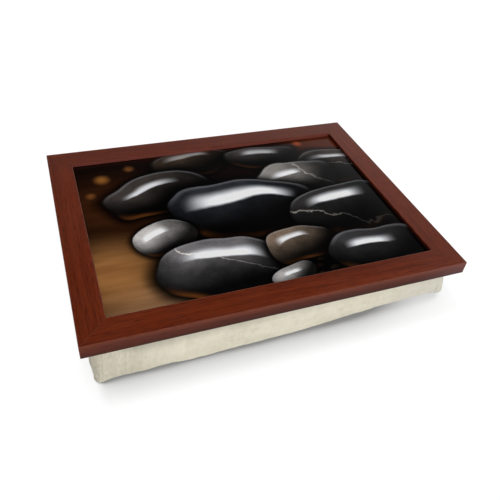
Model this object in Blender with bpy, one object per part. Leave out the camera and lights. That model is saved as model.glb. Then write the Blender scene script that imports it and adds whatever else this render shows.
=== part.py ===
"""A lap tray: a mitred wooden frame round a laminated picture panel, on a bean-filled cushion.

Metres, +Z up. The origin is on the floor under the middle of the tray, +X runs along its long side,
and the side nearest its user faces -Y. The cushion stands on the floor. The tray is held on it by
hook-and-loop tape and lifts straight up.
"""

import math

import bmesh
import bpy

# Frame
TRAY_LENGTH = 0.440
TRAY_DEPTH = 0.336
RAIL_WIDTH = 0.030
RAIL_HEIGHT = 0.017
LIP_THICKNESS = 0.0046
RABBET_WIDTH = 0.006
OUTER_ARRIS = 0.0012
INNER_ARRIS = 0.0009
FOOT_ARRIS = 0.0006

# Clearances: between pieces that touch, round the panel in its rabbet, and past a face that is cut
SEAT_GAP = 0.0003
PANEL_CLEARANCE = 0.0005
CUT_OVERRUN = 0.004

# Panel
PRINT_THICKNESS = 0.0008
BOARD_THICKNESS = 0.0032

# V-nails, driven from below across each mitre
NAIL_LEG = 0.005
NAIL_STEEL = 0.0006
NAIL_HEIGHT = 0.009
NAIL_HALF_ANGLE = math.radians(50)
NAIL_MITRE_SHARES = {"outer": 0.42, "inner": 0.80}

# Glazier's points, driven into the rabbet's wall under the board
POINT_WIDTH = 0.0065
POINT_REACH = 0.009
POINT_DRIVE = 0.005
POINT_STEEL = 0.0005
POINT_LONG_SIDE_SHARES = (-0.72, 0.0, 0.72)
POINT_SHORT_SIDE_SHARES = (-0.6, 0.6)

# Hook-and-loop tape, and the staples that hold the hook half to the frame
TAPE_MARGIN = 0.0015
TAPE_CORNER_RADIUS = 0.002
HOOK_THICKNESS = 0.0016
LOOP_THICKNESS = 0.0012
LONG_TAPE = 0.300
SHORT_TAPE = 0.200
STAPLE_CROWN = 0.010
STAPLE_WIRE = 0.0005
STAPLE_WIRE_WIDTH = 0.0012
STAPLE_DRIVE = 0.005
STAPLE_LONG_TAPE_SHARES = (-0.9, -0.3, 0.3, 0.9)
STAPLE_SHORT_TAPE_SHARES = (-0.8, 0.8)

# Cushion: a boxed cover, whose bands stand up round the tape, over an inner bag of beads
CUSHION_HEIGHT = 0.0487
CUSHION_INSET = 0.008
FABRIC = 0.0012
CORNER_RADIUS = 0.012
LEAST_CORNER_RADIUS = 0.004
BOTTOM_SEAM_HEIGHT = 0.0022
SIDE_SWELL = 0.0018
FLOOR_FLAT = 0.0005

# The beads slump to the front left, so the bottom edge is full there and draws in to the right
LEFT_ROLL = 0.005
RIGHT_ROLL = 0.0175
ROLL_START_SHARE = 0.45
FRONT_SLUMP = 0.0057
SLUMP_END_SHARE = 0.75

# Crown of the cushion, which fills the hollow under the board
CROWN_RUN = 0.040
CROWN_CORNER_RADIUS = 0.020

# Facets
ARC_STEPS = 3
CORNER_STEPS = 4
ROLL_STEPS = 4
LONG_RUN_STEPS = 8
SHORT_RUN_STEPS = 6
WALL_SHARES = (0.25, 0.5, 0.75, 1.0)
CROWN_SHARES = (0.25, 0.5, 0.75, 1.0)

# Heights in the tray's own frame, from the underside of its rails
RABBET_WALL = RAIL_WIDTH - RABBET_WIDTH
LIP_UNDERSIDE = RAIL_HEIGHT - LIP_THICKNESS
PRINT_TOP = LIP_UNDERSIDE - SEAT_GAP
BOARD_TOP = PRINT_TOP - PRINT_THICKNESS - SEAT_GAP
BOARD_UNDERSIDE = BOARD_TOP - BOARD_THICKNESS
POINT_TOP = BOARD_UNDERSIDE - SEAT_GAP
POINT_UNDERSIDE = POINT_TOP - POINT_STEEL
HOOK_TOP = -SEAT_GAP
HOOK_UNDERSIDE = HOOK_TOP - HOOK_THICKNESS

# Heights in the cushion's frame, from the floor
TRAY_UNDERSIDE = CUSHION_HEIGHT + SEAT_GAP
LOOP_TOP = TRAY_UNDERSIDE + HOOK_UNDERSIDE - SEAT_GAP
LOOP_UNDERSIDE = LOOP_TOP - LOOP_THICKNESS
MARGIN_TOP = LOOP_UNDERSIDE - SEAT_GAP
CROWN_TOP = TRAY_UNDERSIDE + POINT_UNDERSIDE - SEAT_GAP
WALL_TOP = MARGIN_TOP - FABRIC - SEAT_GAP

# Places across a rail, in from its outer face: the tape lies between the cover's band and the rabbet
TAPE_START = CUSHION_INSET + FABRIC + TAPE_MARGIN
TAPE_END = RABBET_WALL - TAPE_MARGIN
TAPE_WIDTH = TAPE_END - TAPE_START
TAPE_LINE = (TAPE_START + TAPE_END) / 2

# Half sizes of the cushion's plan, and the inset at which its crown starts to rise
CUSHION_HALF_LENGTH = TRAY_LENGTH / 2 - CUSHION_INSET
CUSHION_HALF_DEPTH = TRAY_DEPTH / 2 - CUSHION_INSET
CROWN_START = RABBET_WALL - CUSHION_INSET

# Each side of the tray: the direction from it to the middle, its distance from there and its length
SIDES = {
    "front": (math.radians(90), TRAY_DEPTH / 2, TRAY_LENGTH),
    "right": (math.radians(180), TRAY_LENGTH / 2, TRAY_DEPTH),
    "rear": (math.radians(270), TRAY_DEPTH / 2, TRAY_LENGTH),
    "left": (0, TRAY_LENGTH / 2, TRAY_DEPTH),
}
LONG_SIDES = ("front", "rear")


def clear_scene():
    for old in list(bpy.data.objects):
        bpy.data.objects.remove(old)


def add_collection(name, parent):
    collection = bpy.data.collections.new(name)
    parent.children.link(collection)
    return collection


def add_empty(name, collection, height):
    empty = bpy.data.objects.new(name, None)
    empty.location = (0, 0, height)
    collection.objects.link(empty)
    return empty


def make_material(name, colour, roughness, metallic=0.0):
    material = bpy.data.materials.new(name)
    material.use_nodes = True
    shader = material.node_tree.nodes["Principled BSDF"]
    shader.inputs["Base Color"].default_value = (*colour, 1)
    shader.inputs["Roughness"].default_value = roughness
    shader.inputs["Metallic"].default_value = metallic
    return material


def add_object(name, mesh, carrier, collection, place=(0, 0, 0), turn=(0, 0, 0)):
    """Put a mesh in a collection, at a place and a turn in the frame of the empty that carries it."""
    piece = bpy.data.objects.new(name, mesh)
    piece.parent = carrier
    piece.location = place
    piece.rotation_euler = turn
    collection.objects.link(piece)
    return piece


def add_part(name, mesh, material, carrier, place=(0, 0, 0), turn=(0, 0, 0)):
    piece = add_object(name, mesh, carrier, parts, place, turn)
    piece.data.materials.clear()
    piece.data.materials.append(material)
    return piece


def add_cutter(name, mesh, carrier, collection, place=(0, 0, 0), turn=(0, 0, 0)):
    cutter = add_object(name, mesh, carrier, collection, place, turn)
    cutter.hide_render = True
    cutter.display_type = "WIRE"
    return cutter


def cut(piece, name, operation, cutter=None, cutters=None):
    """Cut a piece with one cutter, or with every cutter in a collection."""
    modifier = piece.modifiers.new(name, "BOOLEAN")
    modifier.operation = operation
    modifier.solver = "EXACT"
    if cutters:
        modifier.operand_type = "COLLECTION"
        modifier.collection = cutters
    else:
        modifier.object = cutter


def arc(centre_x, centre_y, radius, first_degrees, last_degrees):
    """Points along an arc, from one angle to another."""
    points = []
    for step in range(ARC_STEPS + 1):
        angle = math.radians(first_degrees + (last_degrees - first_degrees) * step / ARC_STEPS)
        points.append((centre_x + radius * math.cos(angle), centre_y + radius * math.sin(angle)))
    return points


def outline_mesh(name, points, thickness):
    """A flat outline in X and Y as a solid of the given thickness, half of it on each side of z = 0."""
    curve = bpy.data.curves.new(name, "CURVE")
    curve.dimensions = "2D"
    curve.fill_mode = "BOTH"
    curve.extrude = thickness / 2
    spline = curve.splines.new("POLY")
    spline.points.add(len(points) - 1)
    for control, (x, y) in zip(spline.points, points):
        control.co = (x, y, 0, 1)
    spline.use_cyclic_u = True
    drawn = bpy.data.objects.new(name, curve)
    bpy.context.scene.collection.objects.link(drawn)
    graph = bpy.context.evaluated_depsgraph_get()
    mesh = bpy.data.meshes.new_from_object(drawn.evaluated_get(graph))
    bpy.data.objects.remove(drawn)
    bpy.data.curves.remove(curve)
    mesh.name = name
    solid = bmesh.new()
    solid.from_mesh(mesh)
    bmesh.ops.remove_doubles(solid, verts=solid.verts, dist=SEAT_GAP / 100)
    bmesh.ops.recalc_face_normals(solid, faces=solid.faces)
    solid.to_mesh(mesh)
    solid.free()
    return mesh


def box_mesh(name, low, high):
    """A box between two corners."""
    solid = bmesh.new()
    bmesh.ops.create_cube(solid, size=1)
    size = [top - bottom for bottom, top in zip(low, high)]
    middle = [(bottom + top) / 2 for bottom, top in zip(low, high)]
    bmesh.ops.scale(solid, vec=size, verts=solid.verts)
    bmesh.ops.translate(solid, vec=middle, verts=solid.verts)
    mesh = bpy.data.meshes.new(name)
    solid.to_mesh(mesh)
    solid.free()
    return mesh


def loft_mesh(name, rings):
    """A closed solid through rings of equally many points, from the first ring's cap to the last one's."""
    solid = bmesh.new()
    rows = [[solid.verts.new(point) for point in ring] for ring in rings]
    for lower, upper in zip(rows, rows[1:]):
        for near in range(len(lower)):
            far = (near + 1) % len(lower)
            solid.faces.new((lower[near], lower[far], upper[far], upper[near]))
    solid.faces.new(reversed(rows[0]))
    solid.faces.new(rows[-1])
    mesh = bpy.data.meshes.new(name)
    solid.to_mesh(mesh)
    solid.free()
    return mesh


def shade_round(mesh):
    mesh.shade_smooth()
    mesh.set_sharp_from_angle(angle=math.radians(35))


def side_place(side, inward, along):
    """A place in plan, by its distances in from a side's outer face and along the side from its middle."""
    heading, reach, _ = SIDES[side]
    across = inward - reach
    x = across * math.cos(heading) + along * math.sin(heading)
    y = across * math.sin(heading) - along * math.cos(heading)
    return x, y


def rounded_bar(length, width, radius):
    """A bar's outline, with its width along X, its length along Y and round corners."""
    x = width / 2 - radius
    y = length / 2 - radius
    return [
        *arc(x, y, radius, 0, 90),
        *arc(-x, y, radius, 90, 180),
        *arc(-x, -y, radius, 180, 270),
        *arc(x, -y, radius, 270, 360),
    ]


def rail_section():
    """The moulding's section: X in from its outer face, Y up from its underside, the rabbet below the lip."""
    top = RAIL_HEIGHT - OUTER_ARRIS
    return [
        *arc(FOOT_ARRIS, FOOT_ARRIS, FOOT_ARRIS, 270, 180),
        *arc(OUTER_ARRIS, top, OUTER_ARRIS, 180, 90),
        *arc(RAIL_WIDTH - INNER_ARRIS, RAIL_HEIGHT - INNER_ARRIS, INNER_ARRIS, 90, 0),
        (RAIL_WIDTH, LIP_UNDERSIDE),
        (RABBET_WALL, LIP_UNDERSIDE),
        (RABBET_WALL, 0),
    ]


def mitre(mesh, length):
    """Cut both ends of a rail at 45 degrees, each back by half the gap that the joint keeps."""
    solid = bmesh.new()
    solid.from_mesh(mesh)
    for end in (-1, 1):
        setback = SEAT_GAP / math.sqrt(2)
        bmesh.ops.bisect_plane(
            solid,
            geom=[*solid.verts, *solid.edges, *solid.faces],
            plane_co=(0, 0, end * (length / 2 - setback)),
            plane_no=(1, 0, end),
            clear_outer=True,
        )
        rim = [edge for edge in solid.edges if edge.is_boundary]
        bmesh.ops.holes_fill(solid, edges=rim, sides=0)
    solid.to_mesh(mesh)
    solid.free()


def build_rails():
    for side, (heading, _, length) in SIDES.items():
        mesh = outline_mesh(f"{side}_rail", rail_section(), length)
        mitre(mesh, length)
        shade_round(mesh)
        x, y = side_place(side, 0, 0)
        rail = add_part(f"{side}_rail", mesh, wood, tray, (x, y, 0), (math.radians(90), 0, heading))
        cut(rail, "fastener slots", "DIFFERENCE", cutters=slots)


def build_panel():
    """The print and the board behind it, both laid in the rabbet from below."""
    half_x = TRAY_LENGTH / 2 - RABBET_WALL - PANEL_CLEARANCE
    half_y = TRAY_DEPTH / 2 - RABBET_WALL - PANEL_CLEARANCE
    layers = (
        ("print_sheet", PRINT_TOP, PRINT_THICKNESS, laminate),
        ("tray_board", BOARD_TOP, BOARD_THICKNESS, hardboard),
    )
    for name, top, thickness, material in layers:
        mesh = box_mesh(name, (-half_x, -half_y, top - thickness), (half_x, half_y, top))
        add_part(name, mesh, material, tray)


def vee_outline(leg, steel):
    """A V-nail from above, its apex at the origin and its legs opening along +X."""
    lean_x = math.cos(NAIL_HALF_ANGLE)
    lean_y = math.sin(NAIL_HALF_ANGLE)
    apex = steel / 2 / lean_y
    outer = (leg * lean_x - steel / 2 * lean_y, leg * lean_y + steel / 2 * lean_x)
    inner = (leg * lean_x + steel / 2 * lean_y, leg * lean_y - steel / 2 * lean_x)
    return [(-apex, 0), (outer[0], -outer[1]), (inner[0], -inner[1]), (apex, 0), inner, outer]


def build_nails():
    """Two V-nails in each mitre, flush with the rails' underside, their apexes towards the tray's middle."""
    mitre_length = RABBET_WALL * math.sqrt(2)
    nail = outline_mesh("v_nail", vee_outline(NAIL_LEG, NAIL_STEEL), NAIL_HEIGHT)
    slot_height = NAIL_HEIGHT + SEAT_GAP + CUT_OVERRUN
    slot_outline = vee_outline(NAIL_LEG + SEAT_GAP, NAIL_STEEL + 2 * SEAT_GAP)
    slot = outline_mesh("v_nail_slot", slot_outline, slot_height)
    corners = {
        "front_left": (-1, -1),
        "front_right": (1, -1),
        "rear_right": (1, 1),
        "rear_left": (-1, 1),
    }
    for corner, (right, back) in corners.items():
        heading = math.atan2(back, right)
        for row, share in NAIL_MITRE_SHARES.items():
            set_in = mitre_length * share / math.sqrt(2)
            x = right * (TRAY_LENGTH / 2 - set_in)
            y = back * (TRAY_DEPTH / 2 - set_in)
            name = f"v_nail_{corner}_{row}"
            add_part(name, nail, steel, tray, (x, y, NAIL_HEIGHT / 2), (0, 0, heading))
            slot_middle = NAIL_HEIGHT + SEAT_GAP - slot_height / 2
            add_cutter(f"{name}_slot", slot, tray, slots, (x, y, slot_middle), (0, 0, heading))


def point_outline(width, reach, drive):
    """A glazier's point from above: its tip at -X in the wood, its tail at +X under the board."""
    shoulder = -drive + width / 2
    return [
        (-drive, 0),
        (shoulder, -width / 2),
        (reach, -width / 2),
        (reach, width / 2),
        (shoulder, width / 2),
    ]


def build_points():
    """The points that hold the board up in the rabbet."""
    point = outline_mesh("board_point", point_outline(POINT_WIDTH, POINT_REACH, POINT_DRIVE), POINT_STEEL)
    slot_outline = point_outline(
        POINT_WIDTH + 2 * SEAT_GAP, POINT_REACH + SEAT_GAP, POINT_DRIVE + 2 * SEAT_GAP
    )
    slot = outline_mesh("board_point_slot", slot_outline, POINT_STEEL + 2 * SEAT_GAP)
    height = POINT_TOP - POINT_STEEL / 2
    for side, (heading, _, length) in SIDES.items():
        shares = POINT_LONG_SIDE_SHARES if side in LONG_SIDES else POINT_SHORT_SIDE_SHARES
        for number, share in enumerate(shares, start=1):
            x, y = side_place(side, RABBET_WALL, share * (length / 2 - RABBET_WALL))
            name = f"board_point_{side}_{number}"
            add_part(name, point, steel, tray, (x, y, height), (0, 0, heading))
            add_cutter(f"{name}_slot", slot, tray, slots, (x, y, height), (0, 0, heading))


def staple_outline(crown, wire, leg):
    """A staple from the side: its crown along X with its underside at y = 0, its legs up along Y."""
    half = crown / 2
    return [
        (-half, 0),
        (half, 0),
        (half, leg),
        (half - wire, leg),
        (half - wire, wire),
        (-half + wire, wire),
        (-half + wire, leg),
        (-half, leg),
    ]


def build_tape():
    """Hook tape stapled under the rails, its staples sunk flush, and loop tape sewn on the cushion."""
    leg = HOOK_THICKNESS + SEAT_GAP + STAPLE_DRIVE
    staple = outline_mesh("staple", staple_outline(STAPLE_CROWN, STAPLE_WIRE, leg), STAPLE_WIRE_WIDTH)
    slot_outline = staple_outline(
        STAPLE_CROWN + 2 * SEAT_GAP, STAPLE_WIRE + 2 * SEAT_GAP, leg + 2 * SEAT_GAP
    )
    slot = outline_mesh("staple_slot", slot_outline, STAPLE_WIRE_WIDTH + 2 * SEAT_GAP)
    for side, (heading, _, _) in SIDES.items():
        length = LONG_TAPE if side in LONG_SIDES else SHORT_TAPE
        shares = STAPLE_LONG_TAPE_SHARES if side in LONG_SIDES else STAPLE_SHORT_TAPE_SHARES
        outline = rounded_bar(length, TAPE_WIDTH, TAPE_CORNER_RADIUS)
        x, y = side_place(side, TAPE_LINE, 0)
        hook_mesh = outline_mesh(f"hook_strip_{side}", outline, HOOK_THICKNESS)
        hook_height = HOOK_UNDERSIDE + HOOK_THICKNESS / 2
        hook = add_part(
            f"hook_strip_{side}", hook_mesh, hook_tape, tray, (x, y, hook_height), (0, 0, heading)
        )
        cut(hook, "fastener slots", "DIFFERENCE", cutters=slots)
        loop_mesh = outline_mesh(f"loop_strip_{side}", outline, LOOP_THICKNESS)
        loop_height = LOOP_UNDERSIDE + LOOP_THICKNESS / 2
        add_part(
            f"loop_strip_{side}", loop_mesh, loop_tape, cushion, (x, y, loop_height), (0, 0, heading)
        )
        for number, share in enumerate(shares, start=1):
            x, y = side_place(side, TAPE_LINE, share * (length / 2 - TAPE_CORNER_RADIUS - STAPLE_CROWN / 2))
            name = f"staple_{side}_{number}"
            turn = (math.radians(90), 0, heading - math.radians(90))
            add_part(name, staple, steel, tray, (x, y, HOOK_UNDERSIDE), turn)
            slot_foot = HOOK_UNDERSIDE - SEAT_GAP
            add_cutter(f"{name}_slot", slot, tray, slots, (x, y, slot_foot), turn)


def cushion_stations():
    """Places round the cushion's edge: the corner each run leaves, the one it goes to, its share and heading."""
    corners = ((1, -1, -90), (1, 1, 0), (-1, 1, 90), (-1, -1, 180))
    stations = []
    for index, (right, back, first_heading) in enumerate(corners):
        here = (right, back)
        following = corners[(index + 1) % len(corners)][:2]
        for step in range(CORNER_STEPS + 1):
            heading = math.radians(first_heading + 90 * step / CORNER_STEPS)
            stations.append((here, here, 0.0, heading))
        run_steps = LONG_RUN_STEPS if here[1] == following[1] else SHORT_RUN_STEPS
        for step in range(1, run_steps):
            stations.append((here, following, step / run_steps, heading))
    return stations


def edge_point(station, inset, least_radius):
    """The plan position of a station on the cushion's round-cornered outline, moved in by the inset."""
    *ends, share, heading = station
    radius = max(CORNER_RADIUS - inset, least_radius)
    places = []
    for right, back in ends:
        x = right * (CUSHION_HALF_LENGTH - inset - radius) + radius * math.cos(heading)
        y = back * (CUSHION_HALF_DEPTH - inset - radius) + radius * math.sin(heading)
        places.append((x, y))
    (x0, y0), (x1, y1) = places
    return x0 + (x1 - x0) * share, y0 + (y1 - y0) * share


def length_share(station):
    """How far along the cushion a station lies, from 0 at its left end to 1 at its right end."""
    x, _ = edge_point(station, 0, LEAST_CORNER_RADIUS)
    return (x / CUSHION_HALF_LENGTH + 1) / 2


def bottom_roll(station):
    """The radius of the bottom edge at a station."""
    past_start = (length_share(station) - ROLL_START_SHARE) / (1 - ROLL_START_SHARE)
    return LEFT_ROLL + (RIGHT_ROLL - LEFT_ROLL) * max(past_start, 0)


def front_slump(station, height):
    """How far the front bulges past the top edge's line at a height."""
    facing_front = max(-math.sin(station[-1]), 0)
    before_end = max(1 - length_share(station) / SLUMP_END_SHARE, 0)
    return FRONT_SLUMP * facing_front * before_end * max(1 - height / WALL_TOP, 0)


def wall_ring(shrink, roll_turn=None, wall_share=None, height=None):
    """A ring of the cushion's side, shrunk by a skin: on its bottom roll, its swelled wall or above that."""
    ring = []
    for station in cushion_stations():
        radius = bottom_roll(station)
        centre_height = radius - FLOOR_FLAT
        if roll_turn is not None:
            inset = radius - (radius - shrink) * math.sin(roll_turn)
            level = centre_height - (radius - shrink) * math.cos(roll_turn)
            level = max(level, shrink)
        elif wall_share is not None:
            inset = shrink - SIDE_SWELL * math.sin(math.pi * wall_share)
            level = centre_height + (WALL_TOP - centre_height) * wall_share
        else:
            inset = shrink
            level = height
        inset -= front_slump(station, level)
        x, y = edge_point(station, inset, LEAST_CORNER_RADIUS)
        ring.append((x, y, level))
    return ring


def side_rings(shrink):
    """The rings from the flat bottom round the roll and up to the top of the swelled wall."""
    rings = []
    for step in range(ROLL_STEPS + 1):
        rings.append(wall_ring(shrink, roll_turn=math.radians(90) * step / ROLL_STEPS))
    for share in WALL_SHARES:
        rings.append(wall_ring(shrink, wall_share=share))
    return rings


def level_ring(inset, height, least_radius=LEAST_CORNER_RADIUS):
    return [(*edge_point(station, inset, least_radius), height) for station in cushion_stations()]


def crown_rings(drop):
    """The rings of the cushion's top, lowered by a drop: its level margin, then its rise to the crown."""
    rings = [level_ring(CROWN_START, MARGIN_TOP - drop, CROWN_CORNER_RADIUS)]
    for share in CROWN_SHARES:
        rise = share * share * (3 - 2 * share)
        inset = CROWN_START + CROWN_RUN * share
        height = MARGIN_TOP + (CROWN_TOP - MARGIN_TOP) * rise
        rings.append(level_ring(inset, height - drop, CROWN_CORNER_RADIUS))
    return rings


def build_cover():
    """The bottom panel and the four bands, cut from one tub of fabric at the seams."""
    outside = [*side_rings(0), wall_ring(0, height=CUSHION_HEIGHT)]
    tub = loft_mesh("cover_outside", outside)
    inside = [*side_rings(FABRIC), wall_ring(FABRIC, height=CUSHION_HEIGHT + CUT_OVERRUN)]
    hollow = add_cutter("cover_hollow", loft_mesh("cover_hollow", inside), cushion, cushion_cutters)
    seam = SEAT_GAP / 2
    far_x = TRAY_LENGTH
    far_y = TRAY_DEPTH
    seam_x = CUSHION_HALF_LENGTH - CORNER_RADIUS
    band_foot = BOTTOM_SEAM_HEIGHT + seam
    band_head = CUSHION_HEIGHT + CUT_OVERRUN
    pieces = {
        "cushion_bottom_panel": ((-far_x, -far_y, -CUT_OVERRUN), (far_x, far_y, BOTTOM_SEAM_HEIGHT - seam)),
        "cushion_front_band": ((seam - seam_x, -far_y, band_foot), (seam_x - seam, 0, band_head)),
        "cushion_rear_band": ((seam - seam_x, 0, band_foot), (seam_x - seam, far_y, band_head)),
        "cushion_left_band": ((-far_x, -far_y, band_foot), (-seam_x - seam, far_y, band_head)),
        "cushion_right_band": ((seam_x + seam, -far_y, band_foot), (far_x, far_y, band_head)),
    }
    for name, (low, high) in pieces.items():
        mesh = tub.copy()
        mesh.name = name
        shade_round(mesh)
        panel = add_part(name, mesh, cotton, cushion)
        cut(panel, "hollow", "DIFFERENCE", cutter=hollow)
        pattern = add_cutter(f"{name}_pattern", box_mesh(name, low, high), cushion, cushion_cutters)
        cut(panel, "seams", "INTERSECT", cutter=pattern)
    bpy.data.meshes.remove(tub)


def build_top_panel():
    """The crowned top of the cover, which lies inside its bands."""
    edge = FABRIC + SEAT_GAP
    rings = [
        *reversed(crown_rings(FABRIC)),
        level_ring(edge, MARGIN_TOP - FABRIC),
        level_ring(edge, MARGIN_TOP),
        *crown_rings(0),
    ]
    mesh = loft_mesh("cushion_top_panel", rings)
    shade_round(mesh)
    add_part("cushion_top_panel", mesh, cotton, cushion)


def build_filling():
    """The inner bag, full of beads, which fills the cover."""
    shrink = FABRIC + SEAT_GAP
    mesh = loft_mesh("bead_bag", [*side_rings(shrink), *crown_rings(shrink)])
    shade_round(mesh)
    add_part("bead_bag", mesh, bag_cloth, cushion)


clear_scene()
parts = add_collection("lap_tray", bpy.context.scene.collection)
cutters = add_collection("cutters", bpy.context.scene.collection)
slots = add_collection("fastener_slots", cutters)
cushion_cutters = add_collection("cushion_cutters", cutters)
tray = add_empty("tray_lift", parts, TRAY_UNDERSIDE)
cushion = add_empty("cushion_base", parts, 0)

wood = make_material("stained_wood", (0.112, 0.026, 0.012), 0.38)
laminate = make_material("laminate", (0.060, 0.042, 0.034), 0.22)
hardboard = make_material("hardboard", (0.165, 0.083, 0.040), 0.75)
steel = make_material("steel", (0.46, 0.46, 0.45), 0.35, 1.0)
hook_tape = make_material("hook_tape", (0.50, 0.46, 0.37), 0.80)
loop_tape = make_material("loop_tape", (0.56, 0.52, 0.42), 0.95)
cotton = make_material("cotton", (0.67, 0.63, 0.50), 0.92)
bag_cloth = make_material("bag_cloth", (0.72, 0.71, 0.68), 0.90)

build_panel()
build_nails()
build_points()
build_tape()
build_rails()
build_cover()
build_top_panel()
build_filling()
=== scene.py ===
"""The lap tray's looks: stained wood, a laminated print, a cotton cushion and what lies between them.

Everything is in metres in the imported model's frame: the floor is z = 0, +X runs along the tray and its
user's side faces -Y.
"""

import math

import bpy
import numpy as np
from mathutils import Matrix, Vector, noise


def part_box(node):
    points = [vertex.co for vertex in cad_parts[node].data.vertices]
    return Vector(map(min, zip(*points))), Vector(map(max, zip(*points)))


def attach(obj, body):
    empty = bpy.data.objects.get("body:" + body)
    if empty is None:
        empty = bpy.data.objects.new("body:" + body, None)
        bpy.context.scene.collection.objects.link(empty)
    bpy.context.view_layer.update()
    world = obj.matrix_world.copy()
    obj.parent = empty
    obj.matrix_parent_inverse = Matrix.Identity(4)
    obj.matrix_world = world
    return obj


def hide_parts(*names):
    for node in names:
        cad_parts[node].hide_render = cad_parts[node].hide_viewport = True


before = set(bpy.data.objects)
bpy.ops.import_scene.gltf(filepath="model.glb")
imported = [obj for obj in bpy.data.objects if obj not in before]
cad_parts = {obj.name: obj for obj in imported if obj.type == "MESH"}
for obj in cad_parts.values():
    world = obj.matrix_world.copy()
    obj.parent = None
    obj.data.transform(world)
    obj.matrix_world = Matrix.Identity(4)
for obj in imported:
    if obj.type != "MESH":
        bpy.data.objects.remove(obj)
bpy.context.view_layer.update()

# The photograph's view, found by fitting a camera to the frame's corners
CAMERA_PLACE = (-0.2096, -0.5048, 0.4789)
CAMERA_AZIMUTH = math.radians(-24.20)
CAMERA_ELEVATION = math.radians(41.70)
CAMERA_ROLL = math.radians(6.17)
FOCAL_PIXELS = 544.4
FRAME_PIXELS = 500
SENSOR_MM = 36.0

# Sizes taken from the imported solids
TRAY_HALF_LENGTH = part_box("right_rail")[1][0]
TRAY_HALF_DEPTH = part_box("rear_rail")[1][1]
TRAY_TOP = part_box("front_rail")[1][2]
RAIL_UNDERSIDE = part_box("front_rail")[0][2]
RAIL_WIDTH = 0.030
LOOP_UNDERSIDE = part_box("loop_strip_front")[0][2]
LONG_TAPE_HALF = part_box("loop_strip_front")[1][0]
SHORT_TAPE_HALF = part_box("loop_strip_left")[1][1]
POINT_UNDERSIDE = min(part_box(name)[0][2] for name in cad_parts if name.startswith("board_point"))

# The cushion's form
CUSHION_INSET = 0.008
HALF_LENGTH = TRAY_HALF_LENGTH - CUSHION_INSET
HALF_DEPTH = TRAY_HALF_DEPTH - CUSHION_INSET
CORNER_RADIUS = 0.012
SLACK_CORNER_RADIUS = 0.017
PRESSED_CORNER_RADIUS = 0.0070
LEAST_RADIUS = 0.003
ROLL = 0.0045
TIGHT_ROLL_SHARE = 0.85
TIGHT_ROLL_RUN = 0.050
SWELL = 0.0018
FRONT_SLUMP = 0.0070
SLUMP_END_SHARE = 0.75
LEFT_LEAN = 0.003
CORNER_LEAN = 0.0008
CORNER_LEAN_RUN = 0.060
CORNER_DRAW = 0.006
CORNER_BULGE = 0.014
CORNER_RUN = 0.090
LIFT = 0.011
LIFT_SHARES = (0.47, 0.95)
LIFT_RUN = 0.080
DROOP_SHARE = 0.28
DROOP_RUN = 0.030
CROWN_RUN = 0.040
CLEAR = 0.0003
MARGIN_TOP = LOOP_UNDERSIDE - CLEAR
CROWN_TOP = POINT_UNDERSIDE - CLEAR
EDGE_TOP = RAIL_UNDERSIDE - 2 * CLEAR
WALL_TOP = 0.0470
PUFF = EDGE_TOP - MARGIN_TOP
TAPE_FADE = 0.014

# The cushion's mesh: corners, front left first, and the turns from a run's end to a corner's middle
CORNERS = ((-1, -1), (1, -1), (1, 1), (-1, 1))
CORNER_SPAN = 0.1
FINE_TURNS = (1.7, 3.4, 6.0, 10.5, 18.0, 27.0, 36.0)
SIM_TURNS = (22.5,)
SEAM_STEPS = (0.0004, 0.0008, 0.0014, 0.0024)
FINE_STEP = 0.0026
SIM_STEP = 0.0060
MARGIN = 0.0165
SHOULDER = 0.0014
ROLL_TURNS = (0, 9, 18, 27, 34, 38.2, 40.3, 42.2, 44.1, 46.2, 51, 60, 70, 80, 90)
WALL_STEPS = 14
TOP_INSETS = (
    0.0002, 0.0007, 0.0014, 0.0018, 0.0021, 0.0024, 0.0028,
    0.0038, 0.0055, 0.0080, 0.0105, 0.0130, 0.0150, 0.0165,
)
SIM_ROLL_TURNS = (0, 30, 60, 90)
SIM_WALL_STEPS = 6
SIM_TOP_INSETS = (0.0014, 0.0060, 0.0110, 0.0165)

# The cloth simulation: its settings, then how far inside its form the cover starts, how uneven that is, how
# many rings are held at its top, and about the deepest fold that is kept
CLOTH = {
    "quality": 6,
    "mass": 0.15,
    "tension_stiffness": 15.0,
    "compression_stiffness": 15.0,
    "shear_stiffness": 5.0,
    "bending_stiffness": 0.3,
    "use_pressure": True,
    "uniform_pressure_force": 4.0,
    "shrink_min": -0.02,
    "vertex_group_mass": "held",
}
CLOTH_FRAMES = 20
CLOTH_SHRINK = 0.0015
CLOTH_UNEVEN = 0.0008
CLOTH_SEED_SCALE = 45.0
CLOTH_HELD_RINGS = 4
FOLD_CAP = 0.0014

# Seams, puckers and creases. A param is a ring's place, as the form gives it
BOTTOM_SEAM_PARAM = 42.2 / 90
TOP_SEAM_PARAM = 2 + 0.0021 / MARGIN
WALL_PARAMS = (0.15, 2.05)
WALL_FADES = (0.2, 0.1)
SEAM_DEPTH = 0.0008
TOP_SEAM_DEPTH = 0.0004
SEAM_WIDTH = 0.0006
PUCKER_REACH = 0.006
PUCKER_SCALE = 110.0
PUCKER_DEPTH = 0.0005
CREASE_FADE = 0.15
CREASE_FACING = 0.7
RIDGE_SHARE = 0.3
CRUMPLE_RUN = 0.045
CRUMPLE_SCALE = 60.0
CRUMPLE_DEPTH = 0.0020
# The front's foot: a wave in its left half, and where it is drawn in
WAVE_START = -0.1411
WAVE_LENGTH = 0.0525
WAVE_END = -0.08
WAVE_DEPTH = 0.0008
FOOT_DRAW = 0.0015
FOOT_SPAN = (-0.200, -0.126)
FOOT_FADE = 0.014
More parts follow.
